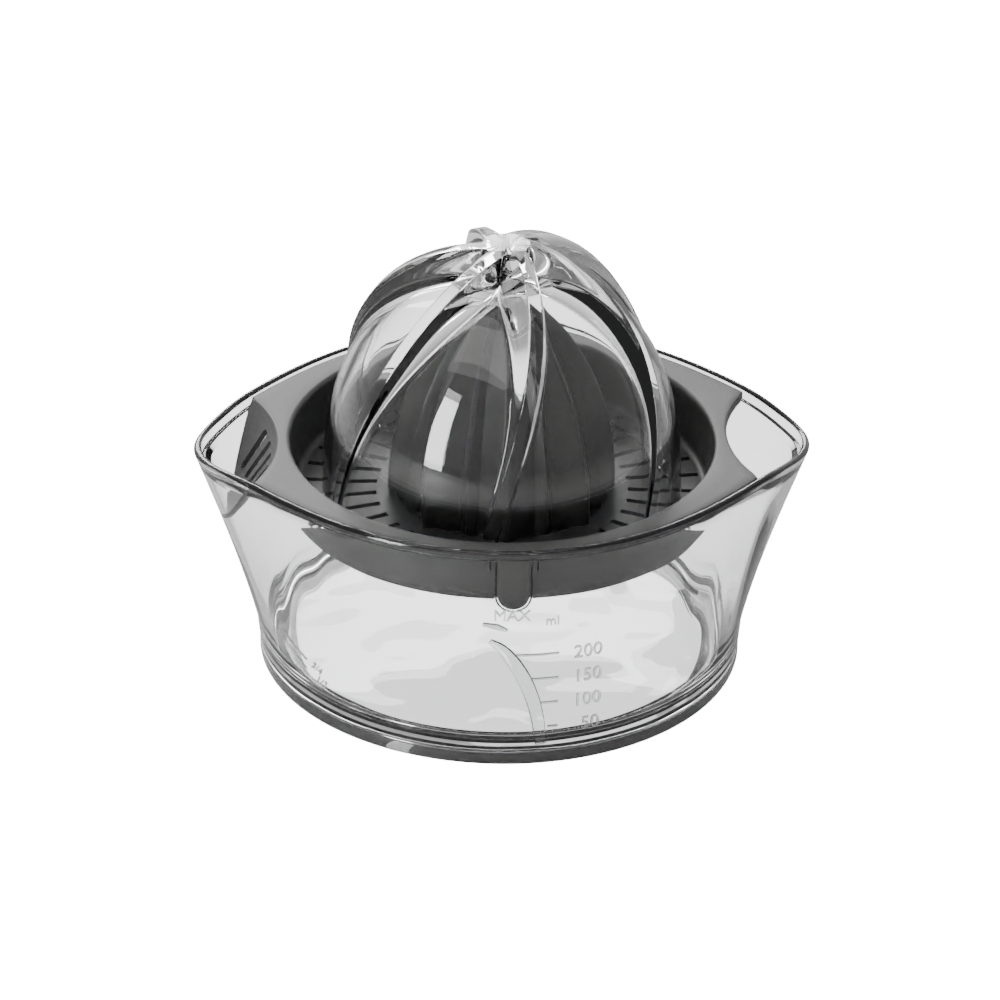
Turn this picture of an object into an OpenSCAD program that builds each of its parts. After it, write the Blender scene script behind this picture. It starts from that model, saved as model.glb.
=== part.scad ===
// Citrus press juicer: a clear two-spout bowl on a soft ring, a strainer tray with a small ribbed
// reamer moulded on it, and a large clear reamer that sits over the small one.
// +X and -X point along the two pour spouts, -Y is the side with the scale and the tray's key.

/* [Bowl] */
// Outside radius of the bowl's round body
body_r = 53.2; // [48:0.1:64]
// Height of the bowl's rim above the table
rim_z = 53.2; // [44:0.1:66]
// How far the tip of each pour spout stands out from the round body
spout_reach = 15; // [8:0.1:22]
// Angle over which a spout opens out of the round body
spout_angle = 20; // [14:0.5:28]
// Bluntness of a spout's tip, as an angle
tip_blunt = 7; // [4:0.5:12]
// How far the rim dips at the tips of the spouts
tip_dip = 2; // [0:0.1:4]
// Thickness of the bowl's wall below the ledge
wall = 2.8; // [2.2:0.1:3.6]
// Thickness of the rim above the ledge
rim_wall = 1.8; // [1.2:0.1:2.1]
// Thickness of the bowl's floor
floor_t = 2.9; // [2:0.1:4]

/* [Soft ring] */
// Height of the soft ring, from the table to the top of its groove
ring_h = 3.1; // [2.6:0.1:3.4]
// Width of the soft ring
ring_w = 6.4; // [4:0.1:8]
// Thickness of the bowl's skirt outside the ring
skirt_t = 1.3; // [1:0.1:2]
// Gap between the skirt's lower edge and the table
skirt_gap = 0.5; // [0.3:0.1:1]
// How far the skirt flares out from the body at the foot
flare = 0.6; // [0:0.1:1.2]
// Height of the floor's underside above the table, inside the ring
under_z = 1.6; // [1:0.1:2.2]

/* [Strainer tray] */
// Width of the flange between the well and the outside of the bowl, beside the well
flange_w = 6.4; // [5.6:0.1:12]
// Depth of the well below the tray's top
well_depth = 12.3; // [9:0.1:16]
// Thickness of the tray's flange
flange_t = 2; // [1.5:0.1:3]
// How far the flange lies below the bowl's rim
flange_drop = 0.6; // [0.2:0.1:1]
// Thickness of the well's wall and floor
cup_wall = 1.7; // [1.2:0.1:2.5]
// Radius of the concave cut at each spout
spout_cut_r = 38; // [30:1:50]
// Width of flange left between the well and each concave cut
cut_land = 3; // [2.6:0.1:5]
// Width of the locating key
key_w = 6.8; // [5:0.1:9]
// Length of the locating key below the flange
key_len = 12.2; // [8:0.1:14]
// Number of slots in the strainer's floor
slot_count = 36; // [24:2:44]
// Width of each floor slot
slot_w = 1.5; // [1.2:0.1:2.2]

/* [Small reamer] */
// Radius of the small reamer's foot as a share of the large reamer's
small_share = 0.642; // [0.5:0.001:0.7]
// Height of the small reamer above the well's floor
small_h = 47.2; // [36:0.1:58]
// Number of large ribs, each followed by a small one
small_ribs = 8; // [6:1:10]

/* [Large reamer] */
// Width of the gap between the large reamer's foot and the mouth of the well
foot_gap = 6.6; // [4:0.1:10]
// How far the large reamer stands above the small one
large_rise = 13.1; // [12.2:0.1:24]
// Number of blades
blades = 6; // [4:1:8]
// Width of a blade's flat crest
blade_t = 3; // [2:0.1:4]
// How far the middle of each crest passes beside the axis
blade_offset = 2.4; // [0:0.1:4]
// Depth of the blades at the top, between the hub and the dome
blade_depth = 8; // [5:0.5:9]
// Thickness of the large reamer's wall
large_wall = 2.2; // [1.8:0.1:2.8]

/* [Fits] */
// Gap all round between the tray and the bowl
tray_gap = 0.3; // [0.2:0.05:0.6]
// Gap all round the tray's key in its pocket
key_gap = 0.3; // [0.2:0.05:0.6]
// Gap between the soft ring and the sides of its groove
ring_gap = 0.1; // [0:0.05:0.3]

/* [Hidden] */
$fn = 96;

groove_out = body_r + flare - skirt_t;
groove_in = groove_out - ring_w;
flare_top = 3.8;
tip_reach = body_r + spout_reach;
foot_bevel = 0.5;
ring_edge = 0.3;
floor_round = 3;
spout_power = 1.2;
tip_power = 1.1;
dip_angle = 9;
crowding = 11;
ledge_z = rim_z - flange_drop - flange_t;
tray_top = rim_z - flange_drop;
well_r = body_r - flange_w;
well_floor = tray_top - well_depth;
cup_bottom = well_floor - cup_wall;
bowl_floor = under_z + floor_t;
spout_cut_x = well_r + cut_land;
large_r = well_r - foot_gap;
large_h = small_h + large_rise;
small_r = small_share * large_r;
screen_low = cup_bottom - 2.2;
screen_half = 23;
screen_lean = 10.5;
screen_slot_w = 2.4;
screen_pitch = 8.5;
key_y = body_r - rim_wall - tray_gap;
key_t = 1.8;
screen_t = 1.5;
small_wall = 1.8;
small_top = 0.86;
rib_floor = 0.84;
short_rib = 0.35;
slot_inner = small_r + 2.4;
slot_outer = well_r - 2.6;
hub_r = 5;
flank_slope = 0.55;
flank_ease = 0.5;
blade_turn = 26;
blade_start = -104;
dome_power = 2.6;
blade_crowding = 0.11;
// steps of the curved skins
BLADE_STEPS = 18;
BOWL_STEPS = 100;
RIB_STEPS = 12;
// shares of a height at which the rings of each skin lie
OUTSIDE_AT = [0.12, 0.26, 0.4, 0.55, 0.7, 0.83, 0.92];
INSIDE_AT = [0.85, 0.72, 0.6, 0.45, 0.3, 0.17];
RIBS_AT = [0.12, 0.25, 0.38, 0.5, 0.61, 0.71, 0.8, 0.88, 0.94, 0.98];
DOME_IN_AT = [0.95, 0.9, 0.82, 0.72, 0.6, 0.45, 0.3, 0.15, 0];
BLADES_AT = [0, 0.06, 0.13, 0.21, 0.3, 0.39, 0.48, 0.57, 0.65, 0.72, 0.78, 0.825, 0.86,
    0.89, 0.92, 0.95, 0.975, 0.994];

// ---- closed skins built from rings of points, one ring after another ----
module skin(rings) {
    n = len(rings[0]);
    points = [for (ring = rings) each ring];
    last = (len(rings) - 1) * n;
    sides = [for (k = [0:len(rings) - 2]) for (i = [0:n - 1])
        each [[k * n + i, (k + 1) * n + (i + 1) % n, k * n + (i + 1) % n],
              [k * n + i, (k + 1) * n + i, (k + 1) * n + (i + 1) % n]]];
    first_cap = [[for (i = [0:n - 1]) i]];
    last_cap = [[for (i = [n - 1:-1:0]) last + i]];
    polyhedron(points, concat(first_cap, last_cap, sides), convexity = 8);
}

// ---- the bowl's outline: a circle drawn out into a point on each side ----
function to_tip(a) = let (d = abs(((a + 90) % 180) - 90)) sqrt(d * d + tip_blunt * tip_blunt) - tip_blunt;
function pull(a) = exp(-pow(to_tip(a) / spout_angle, tip_power));
// how far the spouts have opened out at a height
function opened(z) = pow(max(0, min(1, (z - flare_top) / (rim_z - floor_round - flare_top))), spout_power);
function outline_r(a, z) = body_r + (tip_reach - body_r) * pull(a) * opened(z);
function outline_pt(a, z) = outline_r(a, z) * [cos(a), sin(a)];
// a point of the outline moved inward along its normal
function inset_pt(a, z, d) =
    let (t = outline_pt(a + 1, z) - outline_pt(a - 1, z), n = [-t[1], t[0]] / norm(t))
    outline_pt(a, z) + d * n;
function dip(a) = tip_dip * exp(-pow(to_tip(a) / dip_angle, 2));
// one ring of the bowl's wall at height z, set in by d; rings near the rim share its outline and dip
function wall_ring(z, d, angles) = [for (a = angles) let (p = inset_pt(a, z, d)) [p[0], p[1], z]];
function rim_ring(z, d, angles) = [for (a = angles) let (p = inset_pt(a, rim_z, d)) [p[0], p[1], z - dip(a)]];

// angles round the bowl, closer together near the tips
bowl_angles = [for (i = [0:BOWL_STEPS - 1]) let (t = i * 360 / BOWL_STEPS) t - crowding * sin(2 * t)];

module bowl() {
    round_r = rim_wall / 2;
    deep = rim_z - bowl_floor;
    foot = [for (zd = [[skirt_gap, foot_bevel - flare], [skirt_gap + foot_bevel, -flare],
            [flare_top, -flare]])
        wall_ring(zd[0], zd[1], bowl_angles)];
    outside = [for (f = OUTSIDE_AT) wall_ring(flare_top + f * (rim_z - flare_top), 0, bowl_angles)];
    rim = [for (b = [0:30:180])
        rim_ring(rim_z - round_r * (1 - sin(b)), round_r * (1 - cos(b)), bowl_angles)];
    shelf = [for (d = [rim_wall, wall]) rim_ring(ledge_z, d, bowl_angles)];
    inside = [for (f = INSIDE_AT) wall_ring(bowl_floor + f * deep, wall, bowl_angles)];
    corner = [for (b = [0:30:90])
        wall_ring(bowl_floor + floor_round * (1 - sin(b)), wall + floor_round * (1 - cos(b)), bowl_angles)];
    color([0.86, 0.87, 0.88, 0.45]) difference() {
        skin(concat(foot, outside, rim, shelf, inside, corner));
        // groove for the soft ring, and the hollow under the floor inside it
        rotate_extrude() polygon([[0, -1], [groove_out, -1], [groove_out, ring_h], [groove_in, ring_h],
            [groove_in, under_z], [0, under_z]]);
        // pocket in the wall for the tray's key, round at its lower end
        translate([0, -key_y - key_gap, 0]) key_shape(key_w / 2 + key_gap, key_gap, 2 * wall, rim_wall);
    }
}

// upright plate with a full-round lower end, its outer face at y = 0 and its body towards +Y
module key_shape(half_w, longer, depth, above) {
    round_z = ledge_z - key_len - longer + half_w;
    rotate([-90, 0, 0]) linear_extrude(depth) {
        translate([0, -round_z]) circle(half_w);
        translate([-half_w, -ledge_z - above]) square([2 * half_w, ledge_z + above - round_z]);
    }
}

// soft ring pressed into the groove under the bowl, with its four edges eased
module base_ring() {
    color([0.3, 0.3, 0.31]) rotate_extrude() translate([groove_in + ring_gap, 0])
        offset(delta = ring_edge, chamfer = true) translate([ring_edge, ring_edge])
        square([ring_w - 2 * ring_gap - 2 * ring_edge, ring_h - 2 * ring_edge]);
}

// flange with a concave cut at each spout
module flange_outline() {
    difference() {
        polygon([for (a = bowl_angles) inset_pt(a, rim_z, rim_wall + tray_gap)]);
        for (s = [-1, 1]) translate([s * (spout_cut_x + spout_cut_r), 0]) circle(spout_cut_r);
    }
}

// pour screen under the left cut: part of a cone that leans out towards the spout's wall, with four slots
module pour_screen() {
    top = tray_top - 0.4;
    drop = top - screen_low;
    tilt = atan(screen_lean / drop);
    slot_len = drop / 2;
    slot_at = 0.4;
    cut_angle = asin(screen_half / spout_cut_r);
    intersection() {
        translate([-spout_cut_x - spout_cut_r, 0, 0]) difference() {
            rotate([0, 0, -cut_angle]) rotate_extrude(angle = 2 * cut_angle)
                polygon([[spout_cut_r - screen_lean, screen_low],
                    [spout_cut_r - screen_lean + screen_t, screen_low],
                    [spout_cut_r + screen_t, top], [spout_cut_r, top]]);
            for (i = [-1.5:1:1.5]) rotate([0, 0, i * screen_pitch])
                translate([spout_cut_r + screen_t / 2 - screen_lean * slot_at, 0, top - drop * slot_at])
                rotate([0, tilt, 0]) {
                    cube([6, screen_slot_w, slot_len], center = true);
                    for (e = [-1, 1]) translate([0, 0, e * slot_len / 2]) rotate([0, 90, 0])
                        cylinder(d = screen_slot_w, h = 6, center = true);
                }
        }
        // stays inside the bowl's wall
        skin([for (z = [screen_low - 1, (screen_low + ledge_z) / 2, ledge_z])
            concat([[4 - spout_cut_x, -screen_half - 1, z], [4 - spout_cut_x, screen_half + 1, z]],
                wall_ring(z, wall + tray_gap + 0.1, [for (a = [156:4:204]) a]))]);
    }
}

// radius of the small reamer over its ribs, at a share u of its height
function small_profile(u) = small_r * pow(1 - pow(u, 2.1), 0.62);
// height of a rib round the reamer: a large rib, with a small one half way to the next
function rib(a) = let (w = abs(cos(a * small_ribs / 2))) max(pow(w, 1.6), short_rib * pow(1 - w * w, 3));
function small_ring(u) = [for (i = [0:RIB_STEPS * small_ribs - 1])
    let (a = i * 360 / RIB_STEPS / small_ribs, q = small_profile(u) * (rib_floor + (1 - rib_floor) * rib(a)))
    [q * cos(a), q * sin(a), well_floor + u * small_h]];

module small_reamer() {
    first = small_ring(0);
    skin(concat([[for (p = first) [p[0], p[1], well_floor - cup_wall / 2]], first],
        [for (u = RIBS_AT) small_ring(u)]));
}

// outside of the well and the flange, before the well is cut
module tray_blank() {
    translate([0, 0, ledge_z]) linear_extrude(flange_t) flange_outline();
    rotate_extrude() polygon([[0, cup_bottom], [well_r - 1.6, cup_bottom], [well_r + 0.2, cup_bottom + 1.8],
        [well_r + cup_wall, ledge_z - 0.5], [well_r + cup_wall, tray_top - 0.5], [0, tray_top - 0.5]]);
}

// inside of the well, with its mouth eased and a small fillet round the floor
module well_cut() {
    rotate_extrude() polygon([[0, well_floor], [well_r - 2.4, well_floor], [well_r - 1, well_floor + 1.4],
        [well_r, tray_top - 1.2], [well_r + 0.6, tray_top], [well_r + 0.6, tray_top + 1], [0, tray_top + 1]]);
}

// the small reamer is hollow from below
module small_hollow() {
    foot = small_r * rib_floor - small_wall;
    rotate_extrude() polygon(concat([[0, cup_bottom - 1], [foot, cup_bottom - 1], [foot, well_floor]],
        [for (u = [0.15:0.15:0.75]) [small_profile(u) * rib_floor - small_wall, well_floor + u * small_h]],
        [[0, well_floor + small_top * small_h]]));
}

module strainer_tray() {
    color([0.55, 0.55, 0.56]) union() {
        difference() {
            union() {
                difference() {
                    tray_blank();
                    well_cut();
                }
                small_reamer();
            }
            small_hollow();
            for (i = [0:slot_count - 1]) rotate([0, 0, (i + 0.5) * 360 / slot_count])
                translate([slot_inner, -slot_w / 2, cup_bottom - 1])
                cube([slot_outer - slot_inner, slot_w, cup_wall + 2]);
        }
        pour_screen();
        translate([0, -key_y, 0]) key_shape(key_w / 2, 0, key_t, flange_t / 2);
    }
}

// ---- large reamer: a dome with swept blades; u is a share of its height ----
function edge_r(u) = large_r * sqrt(1 - pow(u, dome_power));
function dome_r(u) = let (d = u * large_h / (large_h - blade_depth))
    max(hub_r, 0.99 * large_r * sqrt(max(0, 1 - pow(d, dome_power))));
// angle of a blade at a height: a steady sweep, and a turn near the hub that carries its crest past the axis
function sweep(u) = blade_turn * u + blade_start + asin(min(1, blade_offset / edge_r(u)));
// radius of a blade's section, x along the ring from its middle: a flat crest with sloping flanks
function blade_r(x, low, high) = let (flank = high - max(0, abs(x) - blade_t / 2) / flank_slope)
    min(high, (flank + low + sqrt(pow(flank - low, 2) + flank_ease)) / 2);
// angles from one blade to the next, closer together near the blades
blade_angles = [for (i = [0:BLADE_STEPS - 1]) let (t = i / BLADE_STEPS)
    360 / blades * (t - blade_crowding * sin(360 * t))];
function large_outer_ring(u) = [for (b = [0:blades - 1]) for (off = blade_angles)
    let (near = min(off, 360 / blades - off), low = dome_r(u), high = max(low, edge_r(u)),
        q = blade_r(near * PI / 180 * high, low, high), a = sweep(u) + b * 360 / blades + off)
    [q * cos(a), q * sin(a), well_floor + u * large_h]];
function large_inner_ring(u, r) = [for (b = [0:blades - 1]) for (off = blade_angles)
    let (a = sweep(u) + b * 360 / blades + off) [r * cos(a), r * sin(a), well_floor + u * large_h]];

module large_reamer() {
    dome_top = 1 - (blade_depth + large_wall) / large_h;
    color([0.9, 0.91, 0.92, 0.4]) skin(concat(
        [large_inner_ring(dome_top, 3)],
        [for (f = DOME_IN_AT) large_inner_ring(f * dome_top, dome_r(f * dome_top) - large_wall)],
        [for (u = BLADES_AT) large_outer_ring(u)]));
}

bowl();
base_ring();
strainer_tray();
large_reamer();
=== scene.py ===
# Citrus press juicer: a clear measuring bowl on a soft ring, a grey strainer tray with a ribbed reamer
# moulded on it, and a clear bladed reamer over that. Shapes are worked out in millimetres.
import math

import bpy
import numpy as np
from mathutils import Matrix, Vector


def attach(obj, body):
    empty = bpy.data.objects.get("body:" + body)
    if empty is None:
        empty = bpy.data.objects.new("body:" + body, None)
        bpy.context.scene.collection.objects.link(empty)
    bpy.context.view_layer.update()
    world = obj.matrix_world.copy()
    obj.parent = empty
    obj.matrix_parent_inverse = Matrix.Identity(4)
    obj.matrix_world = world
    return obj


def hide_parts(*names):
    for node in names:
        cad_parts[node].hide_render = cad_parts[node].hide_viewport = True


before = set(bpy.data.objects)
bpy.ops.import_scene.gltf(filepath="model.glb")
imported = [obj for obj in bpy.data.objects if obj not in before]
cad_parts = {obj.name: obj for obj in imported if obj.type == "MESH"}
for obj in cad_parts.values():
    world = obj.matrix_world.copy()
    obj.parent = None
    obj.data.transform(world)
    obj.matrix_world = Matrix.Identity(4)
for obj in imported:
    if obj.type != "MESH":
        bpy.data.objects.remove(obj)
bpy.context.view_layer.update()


# ---- Bowl: one clear injection moulding in a hard, glass-like plastic. Round at the foot, where a thin skirt
# hides a groove for the soft ring, it opens into a spout at each side; a ledge inside the rim carries the
# tray, and a pocket in front takes the tray's key.
MM = 0.001
BODY_R, RIM_Z, SPOUT_REACH, SPOUT_ANGLE, TIP_BLUNT, TIP_DIP = 53.2, 53.2, 15.0, 20.0, 7.0, 2.0
BOWL_WALL, RIM_WALL, LEDGE_Z, FLOOR_TOP, UNDER_Z, FLARE_TOP = 2.8, 1.8, 50.6, 4.5, 1.6, 3.8
SKIRT_Z, SKIRT_EASE, FLARE, FLARE_END = 0.5, 0.5, 0.6, 9.5
GROOVE_IN, GROOVE_OUT, GROOVE_TOP, FLOOR_ROUND = 46.1, 52.5, 3.1, 3.0
SPOUT_POWER, TIP_POWER, DIP_ANGLE = 1.2, 1.1, 9.0
POCKET_HALF, POCKET_END, POCKET_DEPTH, POCKET_EDGE, SHOULDER = 3.7, 38.1, 1.0, 0.5, 2.6


def to_tip(angle):
    """Angle in degrees to the nearer spout's tip, eased so that the tip is blunt."""
    d = np.abs((angle + 90) % 180 - 90)
    return np.sqrt(d * d + TIP_BLUNT**2) - TIP_BLUNT


def spread(z):
    """Share of the spout's full reach at a height: a power of the height over the foot."""
    return np.clip((z - FLARE_TOP) / (RIM_Z - FLOOR_ROUND - FLARE_TOP), 0, 1) ** SPOUT_POWER


def outline(angle, z, inset=0.0):
    """Points of the bowl's outline: a circle drawn out near the tips, moved inward along its own normal."""
    def at(a):
        r = BODY_R + SPOUT_REACH * np.exp(-((to_tip(a) / SPOUT_ANGLE) ** TIP_POWER)) * spread(z)
        return r * np.cos(np.radians(a)), r * np.sin(np.radians(a))
    (x, y), (x0, y0), (x1, y1) = at(angle), at(angle - 0.5), at(angle + 0.5)
    tx, ty = x1 - x0, y1 - y0
    length = np.hypot(tx, ty)
    return x - inset * ty / length, y + inset * tx / length


def tip_dip(angle):
    """How far the rim sinks towards the tips: a bell curve round each of them."""
    return TIP_DIP * np.exp(-((to_tip(angle) / DIP_ANGLE) ** 2))


def in_pocket(x, z, y):
    """1 inside the key's pocket and 0 outside it: a round-ended slot with rounded shoulders at the ledge."""
    round_z = POCKET_END + POCKET_HALF
    above = np.clip(z - LEDGE_Z + SHOULDER, 0, SHOULDER)
    shoulder = SHOULDER - np.sqrt(np.clip(SHOULDER**2 - above**2, 0, None))
    straight, end = np.abs(x) - POCKET_HALF - shoulder, np.hypot(x, z - round_z) - POCKET_HALF
    beside = np.where(z > round_z, straight, end)
    step = np.clip(0.5 - beside / POCKET_EDGE, 0, 1)
    return np.where(y < 0, step * step * (3 - 2 * step), 0.0)


def skin(name, rings, body, replaces, finish, sharp):
    """A closed piece from a stack of rings (levels, points, 3), each joined to the next and both ends
    closed with a fan round their middles. Rings run counter-clockwise, up an outside and down an inside."""
    levels, around = rings.shape[:2]
    ends = np.stack([rings[0].mean(0), rings[-1].mean(0)])
    verts = np.concatenate([rings.reshape(-1, 3), ends]) * MM
    k, i = np.meshgrid(np.arange(levels - 1), np.arange(around), indexing="ij")
    j = (i + 1) % around
    quads = np.stack([k * around + i, k * around + j, (k + 1) * around + j, (k + 1) * around + i], -1)
    i = np.arange(around)
    j = (i + 1) % around
    last = (levels - 1) * around
    fans = np.concatenate([np.stack([j, i, np.full(around, len(verts) - 2)], -1),
                           np.stack([last + i, last + j, np.full(around, len(verts) - 1)], -1)])
    piece(name, verts, quads.reshape(-1, 4), fans, body, replaces, finish, sharp)


def piece(name, verts, quads, fans, body, replaces, finish, sharp):
    """Puts points and four- and three-sided faces into a mesh, smooth but for edges over an angle."""
    mesh = bpy.data.meshes.new(name)
    mesh.vertices.add(len(verts))
    mesh.vertices.foreach_set("co", verts.ravel())
    mesh.loops.add(quads.size + fans.size)
    mesh.loops.foreach_set("vertex_index", np.concatenate([quads.ravel(), fans.ravel()]))
    sides = np.concatenate([np.full(len(quads), 4), np.full(len(fans), 3)])
    mesh.polygons.add(len(sides))
    mesh.polygons.foreach_set("loop_start", np.concatenate([[0], np.cumsum(sides)[:-1]]))
    mesh.update(calc_edges=True)
    mesh.validate()
    mesh.shade_smooth()
    mesh.set_sharp_from_angle(angle=math.radians(sharp))
    obj = bpy.data.objects.new(name, mesh)
    bpy.context.collection.objects.link(obj)
    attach(obj, body)
    if replaces:
        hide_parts(*replaces)
    mesh.materials.append(finish)


NO_FANS = np.empty((0, 3), int)


class Value:
    """A value in a material. An expression on these adds the Math nodes that work it out."""

    def __init__(self, finish, socket):
        self.finish, self.socket = finish, socket

    def maths(self, operation, *others):
        """A Math node on this value and others."""
        return self.finish.node("ShaderNodeMath", {"operation": operation}, dict(enumerate([self, *others])))

    def __add__(self, other):
        return self.maths("ADD", other)

    def __mul__(self, other):
        return self.maths("MULTIPLY", other)

    def __rsub__(self, other):
        return (self * -1) + other


class Finish:
    """A new material, built one node at a time on the piece's own coordinates. The studio's world is built
    the same way, on the direction looked in."""

    def __init__(self, name, world=None):
        self.material = world or bpy.data.materials.new(name)
        self.material.use_nodes = True
        self.tree = self.material.node_tree
        self.tree.nodes.clear()
        self.place = self.node("ShaderNodeTexCoord", out="Generated" if world else "Object")

    def node(self, kind, settings=None, inputs=None, out=0):
        """Adds a node with its settings and its inputs, which are numbers or values, and gives one output."""
        made = self.tree.nodes.new(kind)
        for key, setting in (settings or {}).items():
            if key == "stops":
                ramp = made.color_ramp.elements
                while len(ramp) < len(setting):
                    ramp.new(0.5)
                for stop, (at, grey) in zip(ramp, setting):
                    stop.position, stop.color = at, (grey, grey, grey, 1)
            else:
                setattr(made, key, setting)
        for key, given in (inputs or {}).items():
            if isinstance(given, Value):
                self.tree.links.new(given.socket, made.inputs[key])
            else:
                made.inputs[key].default_value = given
        return Value(self, made.outputs[out])

    def noise(self, scale, detail, rough=0.5):
        """Noise on the piece's coordinates; the scale counts in one metre."""
        return self.node("ShaderNodeTexNoise", None,
                         {"Vector": self.place, "Scale": scale, "Detail": detail, "Roughness": rough}, "Fac")

    def end(self, shader, kind="ShaderNodeOutputMaterial"):
        """Puts a shader on the output and gives the finished material."""
        self.tree.links.new(shader.socket, self.tree.nodes.new(kind).inputs["Surface"])
        return self.material


CLEAR_IOR = 1.57


def clear_plastic(name, tint, wave, wave_depth, polish):
    """Hard clear plastic: nearly colourless, polished, with the slow ripple that a mould leaves in its walls
    and a faint veil of handling marks in its gloss."""
    made = Finish(name)
    tall = made.node("ShaderNodeMapping", {"vector_type": "POINT"},
                     {"Vector": made.place, "Scale": (1, 1, 0.35)})
    slow = made.node("ShaderNodeTexNoise", None, {"Vector": tall, "Scale": wave, "Detail": 1.0})
    bump = made.node("ShaderNodeBump", None, {"Height": slow, "Strength": 1.0, "Distance": wave_depth})
    veil = made.noise(900, 3) * made.noise(60, 2)
    return made.end(made.node("ShaderNodeBsdfPrincipled", None, {
        "Base Color": (*tint, 1), "Roughness": veil * 0.02 + polish, "IOR": CLEAR_IOR,
        "Transmission Weight": 1.0, "Normal": bump}))


bowl_plastic = clear_plastic("clear_bowl_plastic", (0.91, 0.915, 0.915), 45, 0.0012, 0.004)

# angles round the bowl: closer together near the tips, and very close across the pocket
CROWDING, FRONT, NEAR_POCKET, POCKET_STEP = 11, 270, 7, 0.14
even = np.arange(0, 360, 0.9)
around = even - CROWDING * np.sin(np.radians(2 * even))
across_pocket = np.arange(FRONT - NEAR_POCKET, FRONT + NEAR_POCKET + 0.01, POCKET_STEP)
around = np.concatenate([around[np.abs(around - FRONT) > NEAR_POCKET], across_pocket])
around = np.unique(np.round(around, 4))


def wall_ring(z, inset):
    """The bowl's outline at a height, set in from the outside."""
    x, y = outline(around, z, inset)
    return np.stack([x, y, np.full_like(x, z)], -1)


def rim_ring(z, inset):
    """The outline at the rim, set in, at a height that sinks towards the tips."""
    x, y = outline(around, RIM_Z, inset)
    return np.stack([x, y, z - tip_dip(around)], -1)


def rounding(angles):
    """One minus the cosine and one minus the sine of angles in degrees: steps round an edge of radius 1."""
    t = np.radians(angles)
    return zip(1 - np.cos(t), 1 - np.sin(t))


def bowl_rings():
    """The bowl's section, ring by ring: underside, groove, skirt, outside, rim, ledge, inside and floor."""
    section = [(r, UNDER_Z) for r in (4, 14, 24, 34, 44, 45.6)]
    section += [(GROOVE_IN - 0.2, UNDER_Z), (GROOVE_IN, UNDER_Z + 0.2)]
    section += [(GROOVE_IN, GROOVE_TOP - 0.1), (GROOVE_IN + 0.1, GROOVE_TOP)]
    section += [(GROOVE_OUT - 0.3, GROOVE_TOP), (GROOVE_OUT, GROOVE_TOP - 0.3)]
    section += [(GROOVE_OUT, SKIRT_Z + 0.2), (GROOVE_OUT + 0.1, SKIRT_Z)]
    under = [wall_ring(z, BODY_R - r) for r, z in section]
    foot = [wall_ring(SKIRT_Z + SKIRT_EASE * up, SKIRT_EASE * side - FLARE)
            for up, side in rounding([0, 22, 45, 68, 90])]
    outside = []
    for z in np.linspace(1.4, RIM_Z - 3.2, 48):
        outside.append(wall_ring(z, -FLARE * math.cos(min(1, z / FLARE_END) ** 2 * math.pi / 2)))
    half = RIM_WALL / 2
    rim = [rim_ring(RIM_Z - half * down, half * inward) for inward, down in rounding(np.arange(0, 181, 15))]
    shelf = [(0.35, RIM_WALL), (0.1, RIM_WALL + 0.1), (0, RIM_WALL + 0.35), (0, BOWL_WALL - 0.3)]
    shelf += [(-0.1, BOWL_WALL - 0.08), (-0.35, BOWL_WALL)]
    shelf = [rim_ring(LEDGE_Z + up, inset) for up, inset in shelf]
    fine = [wall_ring(z, BOWL_WALL) for z in np.arange(LEDGE_Z - 3.0, POCKET_END - 1.2, -0.25)]
    low = FLOOR_TOP + FLOOR_ROUND
    inside = [wall_ring(z, BOWL_WALL) for z in np.linspace(POCKET_END - 1.8, low + 0.2, 30)]
    corner = [wall_ring(FLOOR_TOP + FLOOR_ROUND * down, BOWL_WALL + FLOOR_ROUND * inward)
              for inward, down in rounding(np.arange(0, 91, 9))]
    floor = [wall_ring(FLOOR_TOP, BODY_R - r) for r in (44, 34, 24, 14, 6, 2)]
    first = len(under + foot + outside + rim) + 2
    rings = np.array(under + foot + outside + rim + shelf + fine + inside + corner + floor)
    # the pocket is pressed into the wall's inside, out to the face above the ledge
    inner = rings[first:len(under + foot + outside + rim + shelf + fine)]
    depth = POCKET_DEPTH * in_pocket(inner[..., 0], inner[..., 2], inner[..., 1])
    r = np.hypot(inner[..., 0], inner[..., 1])
    reach = np.maximum(r, np.minimum(r + depth, BODY_R - RIM_WALL - 0.02))
    inner[..., :2] *= (reach / r)[..., None]
    return rings


skin("bowl_moulding", bowl_rings(), "bowl", ["bowl"], bowl_plastic, sharp=50)


# ---- Volume scale: marks moulded proud of the bowl's front, in the same plastic with a frosted face. Numbers
# stand beside four level lines, a swept rib runs down past them, and a short dash marks the highest level.
frost = Finish("frosted_mark")
grain = frost.noise(5200, 2)
frosted = frost.end(frost.node("ShaderNodeBsdfPrincipled", None, {
    "Base Color": (0.78, 0.79, 0.79, 1), "Roughness": grain * 0.2 + 0.2, "IOR": CLEAR_IOR,
    "Transmission Weight": 0.9,
    "Normal": frost.node("ShaderNodeBump", None, {"Height": grain, "Strength": 0.6, "Distance": 0.00008})}))
MARK_PROUD, MARK_SUNK, CAPITAL_TO_SIZE = 0.28, 0.12, 1.38


def on_wall(s, z, proud):
    """Points on the bowl's outside: s along the wall from the middle of the front, z up, proud outward."""
    angle = -90 + np.degrees(s / BODY_R)
    x, y = outline(angle, z, -proud)
    return np.stack([x, y, z + 0 * x], -1)


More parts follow.
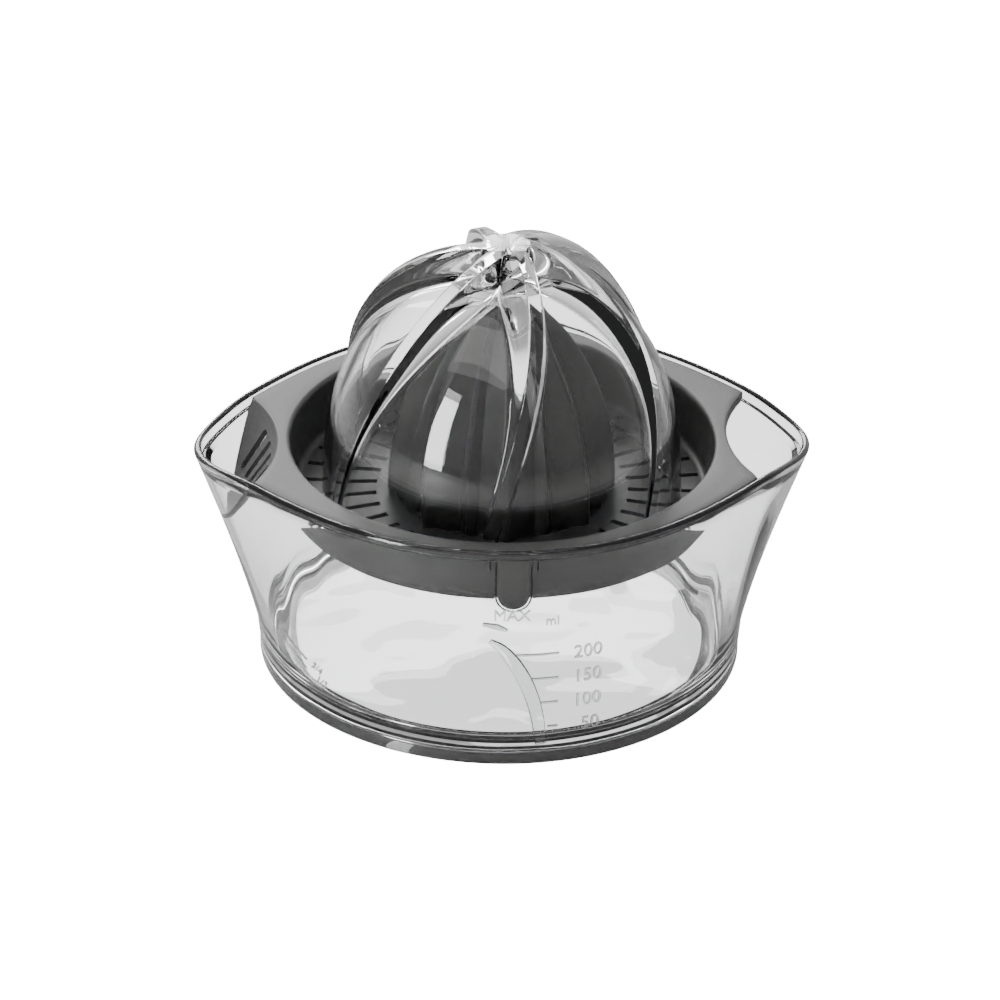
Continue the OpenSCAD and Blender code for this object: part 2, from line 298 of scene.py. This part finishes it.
def raised_strip(name, middle, width, height=MARK_PROUD, finish=frosted):
    """A rib along a line on the wall: a flat-topped section carried along the line's points (s, z), its width
    given at each point, with ends closed."""
    s, z = np.array(middle, float).T
    steps = np.linspace(0, 1, 60)
    at = np.linspace(0, 1, len(s))
    s, z, w = (np.interp(steps, at, q) for q in (s, z, np.broadcast_to(width, len(at))))
    for q in (s, z):
        longer = np.pad(q, 4, "reflect", reflect_type="odd")
        q[1:-1] = np.convolve(longer, np.ones(9) / 9, "valid")[1:-1]
    ds, dz = np.gradient(s)[:, None], np.gradient(z)[:, None]
    n = np.hypot(ds, dz)
    across = np.array([-1, -0.86, -0.6, 0.6, 0.86, 1, 1, -1]) / 2
    up = np.array([0, 0.8, 1, 1, 0.8, 0, -0.6, -0.6]) * height
    side = across[None] * w[:, None]
    rings = on_wall(s[:, None] + side * (dz / n), z[:, None] - side * (ds / n), up[None] + 0 * side)
    skin(name, rings[:, ::-1] if dz.sum() > 0 else rings, "bowl", (), finish, sharp=35)


def lettering(name, words, s, z, height, slant=0.0, turn=0.0):
    """Raised characters: a plain font set upright, then wrapped on the wall with its left foot at (s, z)."""
    text = bpy.data.curves.new(name, "FONT")
    text.body, text.size, text.shear = words, height * CAPITAL_TO_SIZE, slant
    text.extrude, text.resolution_u = 0.5, 6
    set_up = bpy.data.objects.new(name + "_type", text)
    bpy.context.collection.objects.link(set_up)
    mesh = bpy.data.meshes.new_from_object(set_up.evaluated_get(bpy.context.evaluated_depsgraph_get()))
    bpy.data.objects.remove(set_up)
    co = np.empty(len(mesh.vertices) * 3)
    mesh.vertices.foreach_get("co", co)
    co = co.reshape(-1, 3)
    c, d = math.cos(math.radians(turn)), math.sin(math.radians(turn))
    along, above = co[:, 0] * c - co[:, 1] * d, co[:, 0] * d + co[:, 1] * c
    wall = on_wall(s + along, z + above, np.where(co[:, 2] > 0, MARK_PROUD, -MARK_SUNK))
    mesh.vertices.foreach_set("co", (wall * MM).ravel())
    mesh.name = name
    mesh.materials.clear()
    mesh.materials.append(frosted)
    mesh.update()
    obj = bpy.data.objects.new(name, mesh)
    bpy.context.collection.objects.link(obj)
    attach(obj, "bowl")


# millilitres, the height of the line, where along the wall the line starts, and where the number starts
LEVELS = (("50", 9.6, 7.8, 15.2), ("100", 15.7, 6.3, 13.3),
          ("150", 21.8, 3.9, 13.3), ("200", 27.9, 0.2, 13.3))
LINE_END, NUMBER_HEIGHT, NUMBER_DROP = 10, 3.2, 1.7
for number, level, start, foot in LEVELS:
    raised_strip("level_line_" + number, [(start, level), (LINE_END, level)], 0.45)
    lettering("level_number_" + number, number, foot, level - NUMBER_DROP, NUMBER_HEIGHT)
sweep = [(-5.0, 31.4), (-2.4, 29.6), (0.2, 26.2), (2.6, 21.8), (4.4, 17), (5.6, 12), (6.4, 5.5)]
raised_strip("sweep_rib", sweep, [1.2, 2.4, 3.0, 3.2, 3.1, 2.9, 2.6], height=0.45, finish=bowl_plastic)
raised_strip("top_level_dash", [(-6.6, 35.6), (-3.6, 35.0), (-1.3, 34.2)], [0.7, 1.5, 0.6], height=0.4)
lettering("top_level_word", "MAX", -4.4, 36.6, 2.7)
lettering("unit_word", "ml", 6.9, 35.2, 2.3)
raised_strip("side_line_upper", [(-59.0, 17.7), (-50.8, 14.4)], 0.4)
raised_strip("side_line_lower", [(-57.6, 15.1), (-51.2, 12.1)], 0.4)
lettering("side_number_upper", "3/4", -49.4, 13.3, 1.9, slant=0.2, turn=-14)
lettering("side_number_lower", "1/2", -48.0, 10.4, 1.9, slant=0.2, turn=-14)


# ---- Soft ring: a non-slip foot in dark grey soft plastic, pressed into the groove under the bowl and seen
# through the clear skirt. A plain turned section with eased edges, satin with a fine tooth from the mould.
soft = Finish("dark_soft_plastic")
tooth = soft.noise(6000, 3, 0.6)
cloud = soft.noise(120, 3, 0.6)
soft_grey = soft.node("ShaderNodeValToRGB", {"stops": [(0.3, 0.05), (0.7, 0.062)]}, {"Fac": cloud})
soft_plastic = soft.end(soft.node("ShaderNodeBsdfPrincipled", None, {
    "Base Color": soft_grey, "Roughness": tooth * 0.12 + 0.24, "IOR": 1.48, "Specular IOR Level": 0.5,
    "Normal": soft.node("ShaderNodeBump", None, {"Height": tooth, "Strength": 0.35, "Distance": 0.00006})}))
RING_FIT, RING_ROOM, RING_EASE = 0.1, 0.04, 0.3


def ring_section():
    """The soft ring's section as (radius, height): a rectangle that fills the groove, its corners rounded."""
    near, far = GROOVE_IN + RING_FIT + RING_EASE, GROOVE_OUT - RING_FIT - RING_EASE
    low, high = RING_EASE, GROOVE_TOP - RING_ROOM - RING_EASE
    section = []
    for r, z, start in ((near, low, 180), (far, low, 270), (far, high, 0), (near, high, 90)):
        t = np.radians(start + np.arange(0, 91, 18))
        section += zip(r + RING_EASE * np.cos(t), z + RING_EASE * np.sin(t))
    return np.array(section)


def turned(name, section, steps, body, replaces, finish, sharp):
    """A ring-shaped solid: a closed section (radius, height) turned round the upright axis."""
    angle = np.radians(np.arange(steps) * 360 / steps)[:, None]
    r, z = section[:, 0][None], section[:, 1][None]
    verts = np.stack([r * np.cos(angle), r * np.sin(angle), z + 0 * angle], -1)
    n = len(section)
    k, i = np.meshgrid(np.arange(steps), np.arange(n), indexing="ij")
    k1, j = (k + 1) % steps, (i + 1) % n
    quads = np.stack([k * n + i, k1 * n + i, k1 * n + j, k * n + j], -1).reshape(-1, 4)
    piece(name, verts.reshape(-1, 3) * MM, quads, NO_FANS, body, replaces, finish, sharp)


turned("soft_ring", ring_section(), 288, "bowl", ["base_ring"], soft_plastic, sharp=35)


# ---- Strainer tray: one moulding in dark grey plastic with a fine sandy grain. Its flange lies on the bowl's
# ledge and is cut away at the spouts; slots in the well's floor let the juice through.
WELL_FLOOR, CUP_BOTTOM, TRAY_TOP, WELL_LIP, CUP_LIP = 40.3, 38.6, 52.6, 47.9, 48.9
CUT_X, CUT_R, TRAY_GAP = 49.8, 38.0, 0.3
SLOTS, SLOT_W, SLOT_IN, SLOT_OUT = 36, 1.5, 28.2, 44.2


def grained_plastic(name, dark, light, sheen_rough):
    """Grey moulded plastic: slow clouds in its colour, and a sandy grain that breaks up its sheen."""
    made = Finish(name)
    fine, coarse = made.noise(3400, 2, 0.65), made.noise(1500, 2, 0.5)
    tone = made.node("ShaderNodeValToRGB", {"stops": [(0.3, dark), (0.72, light)]},
                     {"Fac": made.noise(70, 3) * 0.6 + fine * 0.4})
    sand = fine + coarse * 0.6
    bump = made.node("ShaderNodeBump", None, {"Height": sand, "Strength": 0.4, "Distance": 0.0001})
    return made.end(made.node("ShaderNodeBsdfPrincipled", None, {
        "Base Color": tone, "Roughness": fine * 0.2 + sheen_rough, "IOR": 1.49, "Specular IOR Level": 0.4,
        "Normal": bump}))


tray_plastic = grained_plastic("grained_grey_plastic", 0.046, 0.056, 0.34)


def pierced(name, top, bottom, kept, closed, body, replaces, finish, sharp):
    """A solid sheet from its two faces on one grid (rows, columns, 3), with cells left out where kept is
    False and a wall round every opening and edge. closed joins the last row to the first."""
    rows, cols = top.shape[:2]
    verts = np.concatenate([top.reshape(-1, 3), bottom.reshape(-1, 3)])
    below = rows * cols
    k, i = np.nonzero(kept)
    k1 = (k + 1) % rows
    a, b, c, d = k * cols + i, k1 * cols + i, k1 * cols + i + 1, k * cols + i + 1
    faces = [np.stack([a, b, c, d], -1), np.stack([a + below, d + below, c + below, b + below], -1)]
    for dk, di, p, q in ((-1, 0, d, a), (1, 0, b, c), (0, -1, a, b), (0, 1, c, d)):
        near_k, near_i = k + dk, i + di
        inside = (near_i >= 0) & (near_i < kept.shape[1])
        if closed:
            near_k = near_k % kept.shape[0]
        else:
            inside &= (near_k >= 0) & (near_k < kept.shape[0])
        beside = np.zeros(len(k), bool)
        beside[inside] = kept[near_k[inside], near_i[inside]]
        p, q = p[~beside], q[~beside]
        faces.append(np.stack([q, p, p + below, q + below], -1))
    quads = np.concatenate(faces)
    used = np.unique(quads)
    number = np.zeros(len(verts), int)
    number[used] = np.arange(len(used))
    piece(name, verts[used] * MM, number[quads], NO_FANS, body, replaces, finish, sharp)


def flange_edge(angle):
    """Distance from the axis to the flange's edge: the bowl's outline set in, or the round cut at a spout."""
    x, y = outline(angle, RIM_Z, RIM_WALL + TRAY_GAP)
    r = np.interp(angle, np.degrees(np.arctan2(y, x)), np.hypot(x, y), period=360)
    a = np.radians(angle)
    centre = CUT_X + CUT_R
    inside = CUT_R**2 - (centre * np.sin(a)) ** 2
    cut = centre * np.abs(np.cos(a)) - np.sqrt(np.clip(inside, 0, None))
    return np.where(inside > 0, np.minimum(r, cut), r)


def slot_half(r):
    """Half of a floor slot's width in degrees at a radius."""
    return np.degrees(np.arcsin(SLOT_W / 2 / np.maximum(r, SLOT_IN)))


def round_axis(angle, r, z):
    """Points at angles in degrees, radii and a height."""
    a = np.radians(angle)
    return np.stack([r * np.cos(a), r * np.sin(a), np.full_like(a, z)], -1)


def tray_faces():
    """The tray's upper and under face on one grid: angle round the axis, and a path from the reamer's foot
    over the floor, up the well's wall and out over the flange. Rows beside a slot keep its sides parallel."""
    across = np.array([-1, -0.5, 0, 0.5])
    between = np.array([0, 0.1, 0.3, 0.5, 0.7, 0.9])
    pitch = 360 / SLOTS
    floor_r = np.array([23.6, 25.5, 27.2, SLOT_IN - 0.3, SLOT_IN, 32, 36, 40, SLOT_OUT])
    half = slot_half(floor_r)
    rows = []
    for slot in range(SLOTS):
        middle = (slot + 0.5) * pitch
        rows += [middle + share * half for share in across]
        rows += [middle + half + share * (pitch - 2 * half) for share in between]
    angle = np.array(rows) % 360
    top, under = [round_axis(angle, floor_r, WELL_FLOOR)], [round_axis(angle, floor_r, CUP_BOTTOM)]
    # from the floor's edge on, a row stays at one angle; (radius, height) of the wall on both faces
    row_angle = angle[:, -1:]
    top += [round_axis(row_angle, r, z) for r, z in (
        (44.6, 40.3), (45.2, 40.5), (45.75, 41.0), (46.0, 41.7), (46.2, 43.6), (46.4, 46.2),
        (46.62, 49), (46.8, 51.2), (46.92, 51.8), (47.12, 52.25), (47.5, 52.53), (WELL_LIP, TRAY_TOP))]
    under += [round_axis(row_angle, r, z) for r, z in (
        (44.8, 38.6), (46.0, 38.62), (46.9, 38.95), (47.4, 39.7), (47.6, 41.5), (47.8, 44),
        (48.0, 46.5), (48.2, 48.6), (48.3, 49.6), (48.42, 50.2), (48.6, 50.5), (CUP_LIP, LEDGE_Z))]
    # the flange: share of the way to its edge, then how far each face is in from the edge and rounded off
    edge = flange_edge(angle[:, -1])[:, None]
    for share, in_top, drop, in_under, rise in (
            (0.35, 0, 0, 0, 0), (0.7, 0, 0, 0, 0), (1, 0.5, 0, 0.4, 0), (1, 0.22, 0.07, 0.15, 0.06),
            (1, 0.05, 0.25, 0.03, 0.2), (1, 0, 0.5, 0, 0.4)):
        top.append(round_axis(row_angle, WELL_LIP + share * (edge - WELL_LIP) - in_top, TRAY_TOP - drop))
        under.append(round_axis(row_angle, CUP_LIP + share * (edge - CUP_LIP) - in_under, LEDGE_Z + rise))
    top, under = np.concatenate(top, 1), np.concatenate(under, 1)
    kept = np.ones((len(top), top.shape[1] - 1), bool)
    slot_rows = np.arange(len(top)) % (len(across) + len(between)) < len(across)
    slot_columns = np.arange(list(floor_r).index(SLOT_IN), len(floor_r) - 1)
    kept[np.ix_(slot_rows, slot_columns)] = False
    return top, under, kept


top, under, kept = tray_faces()
pierced("tray_moulding", top, under, kept, True, "tray", ["strainer_tray"], tray_plastic,
        sharp=32)


# ---- Small reamer: the middle of the same moulding, a hollow cone of ribs for limes and lemons. Long ribs
# run to the top with a shorter one between each two, and the flutes between them are smooth hollows.
SMALL_R, SMALL_H, RIBS, HOLLOW, SHORT_RIB, SMALL_WALL, FOOT_R = 25.8, 47.2, 8, 0.79, 0.55, 1.6, 24.6
SMALL_POWER, SMALL_ROUND, CREST_EASE, SHORT_EASE, SHORT_SLOPE = 2.1, 0.62, 0.004, 0.0005, 3.2
FADE_FROM, FADE_RUN, TOP_ROUND = 0.9, 0.12, 0.98
# The cone is the tray's own plastic, but its grey is set darker than the tray's: painted shade for the dim
# light under the clear cap.
shaded_reamer_plastic = grained_plastic("ribbed_grey_plastic_with_painted_shade", 0.027, 0.035, 0.22)


def small_profile(u):
    """Radius over the ribs at a share u of the height: a blunt dome."""
    return SMALL_R * (1 - max(u, 0)**SMALL_POWER) ** SMALL_ROUND


def small_rings():
    """Ribs as sharp crests between round hollows: one minus the sine's size for the long ribs, a narrower
    crest half way between them, both fading towards the top. The inside is smooth."""
    angle = np.arange(0, 360, 0.625)
    swing = np.abs(np.sin(np.radians(angle) * RIBS / 2))
    crest = 1 - np.sqrt(swing**2 + CREST_EASE)
    short = np.clip(1 - SHORT_SLOPE * np.sqrt(1 - swing + SHORT_EASE), 0, 1) * SHORT_RIB
    shape = HOLLOW + (1 - HOLLOW) * np.maximum(crest, short)
    inside = [round_axis(angle, small_profile(u) * HOLLOW - SMALL_WALL, WELL_FLOOR + u * SMALL_H)
              for u in np.linspace(0.84, -0.036, 24)]
    foot = round_axis(angle, FOOT_R, CUP_BOTTOM + 0.02)
    outside = []
    for u in np.concatenate([[-0.02], np.linspace(0, 0.85, 34), np.linspace(0.87, 0.985, 10)]):
        fade = max(0, u - FADE_FROM) / FADE_RUN
        r = small_profile(u) * (shape + (TOP_ROUND - shape) * fade)
        outside.append(round_axis(angle, r, WELL_FLOOR + u * SMALL_H))
    return np.array(inside + [foot] + outside)


skin("small_reamer", small_rings(), "tray", (), shaded_reamer_plastic, sharp=30)


# ---- Pour screen: a thin curved wall under the left cut that holds back the pips. It is part of the tray's
# moulding, leans out towards the spout, and has four upright slots.
SCREEN_HALF, SCREEN_LOW, SCREEN_HIGH, SCREEN_LEAN, SCREEN_T, SCREEN_ROOM = 37, 36.4, 52.2, 10.5, 1.5, 0.45
SLITS = (-12.75, -4.25, 4.25, 12.75)
SLIT_HALF, SLIT_MIDDLE, SLIT_STRAIGHT, SLIT_LEAN = 1.2, 45.9, 3.3, 4.6


def screen_faces():
    """Part of a cone round the spout's cut: angle along the cut, and height; slots are cells left out."""
    angle = np.arange(-SCREEN_HALF, SCREEN_HALF + 0.01, 0.25)
    height = np.concatenate([[SCREEN_LOW, 36.6], np.arange(37, 50.3, 0.25), [51.2, 52.0, 52.3]])
    lean = np.interp(height, [SCREEN_LOW, SCREEN_HIGH], [SCREEN_LEAN, 0])
    a, far_r = np.radians(angle)[:, None], (CUT_R - lean)[None]
    z = np.broadcast_to(height, (len(angle), len(height)))
    far, near = (np.stack([r * np.cos(a) - CUT_X - CUT_R, r * np.sin(a), z], -1)
                 for r in (far_r, far_r + SCREEN_T))
    mid_a = (angle[:-1] + angle[1:])[:, None] / 2
    mid_z = (height[:-1] + height[1:])[None] / 2
    along = np.clip(np.abs(mid_z - SLIT_MIDDLE) - SLIT_STRAIGHT, 0, None)
    kept = np.ones((len(angle) - 1, len(height) - 1), bool)
    for middle in SLITS:
        across = np.radians(mid_a - middle) * (CUT_R - SLIT_LEAN)
        kept &= np.hypot(across, along) > SLIT_HALF
    # cells that would reach into the bowl's wall are left out too
    x, y, z = near[..., 0], near[..., 1], near[..., 2]
    wall_x, wall_y = outline(np.degrees(np.arctan2(y, x)), z, BOWL_WALL + SCREEN_ROOM)
    fits = np.hypot(x, y) < np.hypot(wall_x, wall_y)
    kept &= fits[:-1, :-1] & fits[1:, :-1] & fits[:-1, 1:] & fits[1:, 1:]
    return far, near, kept


far, near, kept = screen_faces()
pierced("pour_screen", near, far, kept, False, "tray", (), tray_plastic, sharp=50)


# ---- Key: an upright tab on the tray's front with a full-round end, which drops into the bowl's pocket and
# keeps the tray from turning. Same moulding, its edge eased.
KEY_HALF, KEY_END, KEY_TOP = 3.4, 38.4, 51.6


def key_rings():
    """A round-ended outline carried from the tab's back to its face, drawn in at both for eased edges."""
    round_z = KEY_END + KEY_HALF
    t = np.radians(np.arange(180, 361, 9))
    x = np.concatenate([np.cos(t), [1, 1, 0.5, 0, -0.5, -1, -1]])
    z = np.concatenate([np.sin(t), [0.5, 1, 1, 1, 1, 1, 0.5]])
    rings = []
    for y, ease in ((-49.3, 0.3), (-49.35, 0.1), (-49.55, 0), (-50.75, 0), (-50.98, 0.08), (-51.06, 0.25),
                    (-51.1, 0.5)):
        half = KEY_HALF - ease
        height = round_z + z * np.where(z < 0, half, KEY_TOP - ease - round_z)
        rings.append(np.stack([x * half, np.full_like(x, y), height], -1))
    return np.array(rings)


skin("tray_key", key_rings(), "tray", (), tray_plastic, sharp=50)


# ---- Large reamer: a clear cap, moulded in a plastic like the bowl's, that lies over the small one for
# oranges. Deep swept blades stand on its dome, meet in a flat hub at the top, and run out to nothing at the
# foot.
BLADES, LARGE_R, LARGE_H, BLADE_T, BLADE_DEPTH, SHELL, HUB_R = 6, 40.2, 60.3, 3.0, 8.0, 2.2, 5.0
FLANK_SLOPE, FLANK_BLEND, BLADE_OFFSET, DOME_POWER, ROOT_SHARE = 0.55, 0.5, 2.4, 2.6, 0.99
BLADE_START, BLADE_SWEEP, BLADE_STEPS, BLADE_CROWDING = -104, 26, 72, 0.11
cap_plastic = clear_plastic("clear_reamer_plastic", (0.975, 0.978, 0.978), 70, 0.00025, 0.003)


def edge_r(u):
    """Distance from the axis to a blade's edge at a share u of the height."""
    return LARGE_R * np.sqrt(np.clip(1 - u**DOME_POWER, 0, None))


def dome_r(u):
    """Radius of the dome between the blades, which is lower than they are by the blades' depth."""
    d = np.clip(u * LARGE_H / (LARGE_H - BLADE_DEPTH), 0, 1)
    return np.maximum(HUB_R, ROOT_SHARE * LARGE_R * np.sqrt(1 - d**DOME_POWER))


def blade_turn(u):
    """Angle of the first blade in degrees: a steady sweep, and a turn that takes its crest past the axis."""
    return BLADE_SWEEP * u + BLADE_START + math.degrees(math.asin(min(1, BLADE_OFFSET / edge_r(u))))


def cap_ring(u, inside=None):
    """One ring of the cap: the dome's radius, and on each blade a flat crest with straight sloping flanks,
    eased into the dome with a smooth maximum. With a radius for the inside, a plain ring of that radius."""
    share = np.arange(BLADE_STEPS) / BLADE_STEPS
    pitch = 360 / BLADES
    off = pitch * (share - BLADE_CROWDING * np.sin(2 * np.pi * share))
    angle = (np.arange(BLADES)[:, None] * pitch + off[None]).ravel() + blade_turn(u)
    r = inside
    if inside is None:
        low = dome_r(u)
        high = max(low, edge_r(u))
        beside = np.radians(np.minimum(off, pitch - off)) * high
        flank = high - np.maximum(0, beside - BLADE_T / 2) / FLANK_SLOPE
        eased = (flank + low + np.sqrt((flank - low) ** 2 + FLANK_BLEND)) / 2
        r = np.tile(np.minimum(high, eased), BLADES)
    return round_axis(angle, r, WELL_FLOOR + u * LARGE_H)


def even_steps(profile, last, steps):
    """Shares of the height from 0 to last that cut a profile into steps of equal length."""
    u = last * np.sin(np.linspace(0, math.pi / 2, 2000))
    r = np.array([profile(q) for q in u])
    run = np.concatenate([[0], np.cumsum(np.hypot(np.diff(r), np.diff(u) * LARGE_H))])
    return np.interp(np.linspace(0, run[-1], steps), run, u)


CEILING, CAP_TOP, INSIDE_RINGS, OUTSIDE_RINGS = 1 - (BLADE_DEPTH + SHELL) / LARGE_H, 0.994, 44, 104
cap = [cap_ring(u, dome_r(u) - SHELL) for u in even_steps(dome_r, CEILING, INSIDE_RINGS)[::-1]]
cap += [cap_ring(u) for u in even_steps(edge_r, 0.992, OUTSIDE_RINGS)] + [cap_ring(CAP_TOP)]
skin("large_reamer_cap", np.array(cap), "reamer", ["large_reamer"], cap_plastic, sharp=50)


# ---- Studio: a pale matt table, which glows where it is seen directly or straight through clear walls so
# that the ground is white; a tall window light at the front left, a soft light overhead and a broad one
# behind. The camera looks down from in front.
pale = Finish("pale_table")
pale_grey = pale.node("ShaderNodeValToRGB", {"stops": [(0.3, 0.54), (0.7, 0.57)]}, {"Fac": pale.noise(9, 3)})
matt = pale.node("ShaderNodeBsdfPrincipled", None,
                 {"Base Color": pale_grey, "Roughness": 0.6, "Specular IOR Level": 0.2})
lit = pale.node("ShaderNodeEmission", None, {"Color": (1, 1, 1, 1), "Strength": 18.0})
SEEN_DIRECTLY, SEEN_THROUGH_WALLS = 0.93, 0.12
# the glow seen through walls is kept to a pool round the object, and out of light that has bounced
beside = pale.node("ShaderNodeSeparateXYZ", None, {"Vector": pale.place}, "X").maths("ABSOLUTE")
along = pale.node("ShaderNodeSeparateXYZ", None, {"Vector": pale.place}, "Y")
smooth = {"interpolation_type": "SMOOTHSTEP"}
pool = pale.node("ShaderNodeMapRange", smooth, {"Value": along, "From Min": -0.4, "From Max": -0.1})
pool *= pale.node("ShaderNodeMapRange", smooth, {"Value": beside, "From Min": 0.5, "From Max": 0.2})
path = {out: pale.node("ShaderNodeLightPath", out=out) for out in
        ("Is Camera Ray", "Is Transmission Ray", "Diffuse Depth", "Glossy Depth")}
clean = 1 - (path["Diffuse Depth"] + path["Glossy Depth"]).maths("MINIMUM", 1)
through = path["Is Transmission Ray"] * clean * pool
share = path["Is Camera Ray"] * SEEN_DIRECTLY + through * SEEN_THROUGH_WALLS
pale_table = pale.end(pale.node("ShaderNodeMixShader", None, {0: share, 1: matt, 2: lit}))
sheet = bpy.data.meshes.new("table")
sheet.from_pydata([(-9, -9, 0), (9, -9, 0), (9, 9, 0), (-9, 9, 0)], [], [(0, 1, 2, 3)])
sheet.materials.append(pale_table)
table = bpy.data.objects.new("table", sheet)
bpy.context.collection.objects.link(table)

room = Finish("studio", bpy.data.worlds.new("studio"))
ahead = room.node("ShaderNodeSeparateXYZ", None, {"Vector": room.place}, "Y")
glow = room.node("ShaderNodeMapRange", None, {
    "Value": ahead, "From Min": 0.2, "From Max": 0.85, "To Min": 0.42, "To Max": 1.4})
sky = room.node("ShaderNodeBackground", None, {"Color": (1, 1, 1, 1), "Strength": glow})
bpy.context.scene.world = room.end(sky, "ShaderNodeOutputWorld")


def look(obj, place, target):
    """Puts an object at a place and points its -Z axis at a target."""
    obj.location = place
    obj.rotation_euler = (Vector(target) - Vector(place)).to_track_quat("-Z", "Y").to_euler()


def softbox(name, place, target, width, height, power):
    """A rectangular light of a width and height in metres and a power in watts, which faces a target."""
    lamp = bpy.data.lights.new(name, "AREA")
    lamp.shape, lamp.size, lamp.size_y, lamp.energy = "RECTANGLE", width, height, power
    obj = bpy.data.objects.new(name, lamp)
    bpy.context.collection.objects.link(obj)
    look(obj, place, target)


softbox("window_left", (-0.88, -0.82, 0.49), (0, 0, 0.07), 0.25, 0.9, 18)
softbox("overhead", (-0.2, -0.3, 1.5), (0, 0, 0), 1.2, 1.0, 5)
softbox("behind", (-0.25, 1.3, 0.72), (0, 0, 0.06), 1.0, 0.45, 15)

lens = bpy.data.cameras.new("camera")
lens.lens, lens.sensor_width, lens.clip_start, lens.clip_end = 216.2, 36, 0.05, 50
camera = bpy.data.objects.new("camera", lens)
bpy.context.collection.objects.link(camera)
look(camera, (-0.0673, -1.1642, 0.6878), (-0.0003, 0, 0.0365))
camera.rotation_euler.rotate_axis("Z", math.radians(0.94))
bpy.context.scene.camera = camera

bpy.context.view_layer.update()
